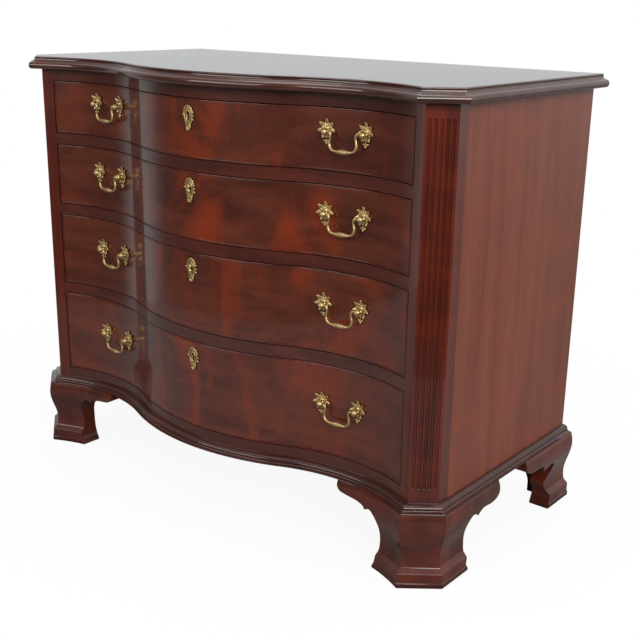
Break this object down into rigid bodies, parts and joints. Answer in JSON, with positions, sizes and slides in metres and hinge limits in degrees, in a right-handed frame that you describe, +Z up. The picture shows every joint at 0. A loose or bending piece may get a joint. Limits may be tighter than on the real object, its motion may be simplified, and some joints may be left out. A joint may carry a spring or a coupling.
{
  "type": "serpentine chest of drawers",
  "caption": "Chest of graduated drawers with a serpentine front, canted fluted corners, moulded top, bail pulls and ogee bracket feet.",
  "frame": {"origin": "on the floor, under the middle of the overall width and depth", "axes": "+Z up, +X to the right seen from the front, the drawer fronts face -Y"},
  "size_m": [1.066, 0.561, 0.836],
  "materials": {
    "figured_mahogany": "figured mahogany, polished to a high gloss",
    "deep_mahogany": "solid mahogany, deep red, polished",
    "side_mahogany": "straight-grained mahogany, polished",
    "inner_wood": "plain unpolished secondary wood",
    "antique_brass": "cast brass with an old, dull patina",
    "lock_brass": "flat sheet brass, worn",
    "bright_steel": "filed steel"
  },
  "bodies": {
    "case": {"top_board": "figured_mahogany", "side_panel_left": "side_mahogany", "side_panel_right": "side_mahogany", "back_boards": "inner_wood", "corner_post_left": "deep_mahogany", "corner_post_right": "deep_mahogany", "top_rail": "figured_mahogany", "drawer_rail_1": "figured_mahogany", "drawer_rail_2": "figured_mahogany", "drawer_rail_3": "figured_mahogany", "bottom_rail": "figured_mahogany", "bottom_boards": "inner_wood", "drawer_runners": "inner_wood", "drawer_guides": "inner_wood", "base_moulding": "deep_mahogany", "foot_front_left": "deep_mahogany", "foot_front_right": "deep_mahogany", "foot_rear_left": "deep_mahogany", "foot_rear_right": "deep_mahogany", "foot_glue_blocks": "inner_wood"},
    "drawer_1": {"drawer_1_front": "figured_mahogany", "drawer_1_sides": "inner_wood", "drawer_1_back": "inner_wood", "drawer_1_bottom": "inner_wood", "drawer_1_escutcheon": "antique_brass", "drawer_1_pull_posts": "antique_brass", "drawer_1_lock": "lock_brass"},
    "drawer_1_bail_left": {"drawer_1_bail_left": "antique_brass"},
    "drawer_1_bail_right": {"drawer_1_bail_right": "antique_brass"},
    "drawer_1_bolt": {"drawer_1_lock_bolt": "bright_steel"},
    "drawer_2": {"drawer_2_front": "figured_mahogany", "drawer_2_sides": "inner_wood", "drawer_2_back": "inner_wood", "drawer_2_bottom": "inner_wood", "drawer_2_escutcheon": "antique_brass", "drawer_2_pull_posts": "antique_brass", "drawer_2_lock": "lock_brass"},
    "drawer_2_bail_left": {"drawer_2_bail_left": "antique_brass"},
    "drawer_2_bail_right": {"drawer_2_bail_right": "antique_brass"},
    "drawer_2_bolt": {"drawer_2_lock_bolt": "bright_steel"},
    "drawer_3": {"drawer_3_front": "figured_mahogany", "drawer_3_sides": "inner_wood", "drawer_3_back": "inner_wood", "drawer_3_bottom": "inner_wood", "drawer_3_escutcheon": "antique_brass", "drawer_3_pull_posts": "antique_brass", "drawer_3_lock": "lock_brass"},
    "drawer_3_bail_left": {"drawer_3_bail_left": "antique_brass"},
    "drawer_3_bail_right": {"drawer_3_bail_right": "antique_brass"},
    "drawer_3_bolt": {"drawer_3_lock_bolt": "bright_steel"},
    "drawer_4": {"drawer_4_front": "figured_mahogany", "drawer_4_sides": "inner_wood", "drawer_4_back": "inner_wood", "drawer_4_bottom": "inner_wood", "drawer_4_escutcheon": "antique_brass", "drawer_4_pull_posts": "antique_brass", "drawer_4_lock": "lock_brass"},
    "drawer_4_bail_left": {"drawer_4_bail_left": "antique_brass"},
    "drawer_4_bail_right": {"drawer_4_bail_right": "antique_brass"},
    "drawer_4_bolt": {"drawer_4_lock_bolt": "bright_steel"}
  },
  "joints": [
    {"name": "drawer_1_slide", "type": "slide", "parent": "case", "child": "drawer_1", "axis": [0, -1, 0], "range_m": [0, 0.33]},
    {"name": "drawer_1_bail_left_swing", "type": "hinge", "parent": "drawer_1", "child": "drawer_1_bail_left", "pos_m": [-0.29793, -0.19879, 0.749], "axis": [-0.9964, 0.0851, 0], "range_deg": [-8, 170]},
    {"name": "drawer_1_bail_right_swing", "type": "hinge", "parent": "drawer_1", "child": "drawer_1_bail_right", "pos_m": [0.29793, -0.19879, 0.749], "axis": [-0.9964, -0.0851, 0], "range_deg": [-8, 170]},
    {"name": "drawer_1_bolt_throw", "type": "slide", "parent": "drawer_1", "child": "drawer_1_bolt", "axis": [0, 0, 1], "range_m": [0, 0.008]},
    {"name": "drawer_2_slide", "type": "slide", "parent": "case", "child": "drawer_2", "axis": [0, -1, 0], "range_m": [0, 0.33]},
    {"name": "drawer_2_bail_left_swing", "type": "hinge", "parent": "drawer_2", "child": "drawer_2_bail_left", "pos_m": [-0.29793, -0.19879, 0.6115], "axis": [-0.9964, 0.0851, 0], "range_deg": [-8, 170]},
    {"name": "drawer_2_bail_right_swing", "type": "hinge", "parent": "drawer_2", "child": "drawer_2_bail_right", "pos_m": [0.29793, -0.19879, 0.6115], "axis": [-0.9964, -0.0851, 0], "range_deg": [-8, 170]},
    {"name": "drawer_2_bolt_throw", "type": "slide", "parent": "drawer_2", "child": "drawer_2_bolt", "axis": [0, 0, 1], "range_m": [0, 0.008]},
    {"name": "drawer_3_slide", "type": "slide", "parent": "case", "child": "drawer_3", "axis": [0, -1, 0], "range_m": [0, 0.33]},
    {"name": "drawer_3_bail_left_swing", "type": "hinge", "parent": "drawer_3", "child": "drawer_3_bail_left", "pos_m": [-0.29793, -0.19879, 0.452], "axis": [-0.9964, 0.0851, 0], "range_deg": [-8, 170]},
    {"name": "drawer_3_bail_right_swing", "type": "hinge", "parent": "drawer_3", "child": "drawer_3_bail_right", "pos_m": [0.29793, -0.19879, 0.452], "axis": [-0.9964, -0.0851, 0], "range_deg": [-8, 170]},
    {"name": "drawer_3_bolt_throw", "type": "slide", "parent": "drawer_3", "child": "drawer_3_bolt", "axis": [0, 0, 1], "range_m": [0, 0.008]},
    {"name": "drawer_4_slide", "type": "slide", "parent": "case", "child": "drawer_4", "axis": [0, -1, 0], "range_m": [0, 0.33]},
    {"name": "drawer_4_bail_left_swing", "type": "hinge", "parent": "drawer_4", "child": "drawer_4_bail_left", "pos_m": [-0.29793, -0.19879, 0.269], "axis": [-0.9964, 0.0851, 0], "range_deg": [-8, 170]},
    {"name": "drawer_4_bail_right_swing", "type": "hinge", "parent": "drawer_4", "child": "drawer_4_bail_right", "pos_m": [0.29793, -0.19879, 0.269], "axis": [-0.9964, -0.0851, 0], "range_deg": [-8, 170]},
    {"name": "drawer_4_bolt_throw", "type": "slide", "parent": "drawer_4", "child": "drawer_4_bolt", "axis": [0, 0, 1], "range_m": [0, 0.008]}
  ]
}
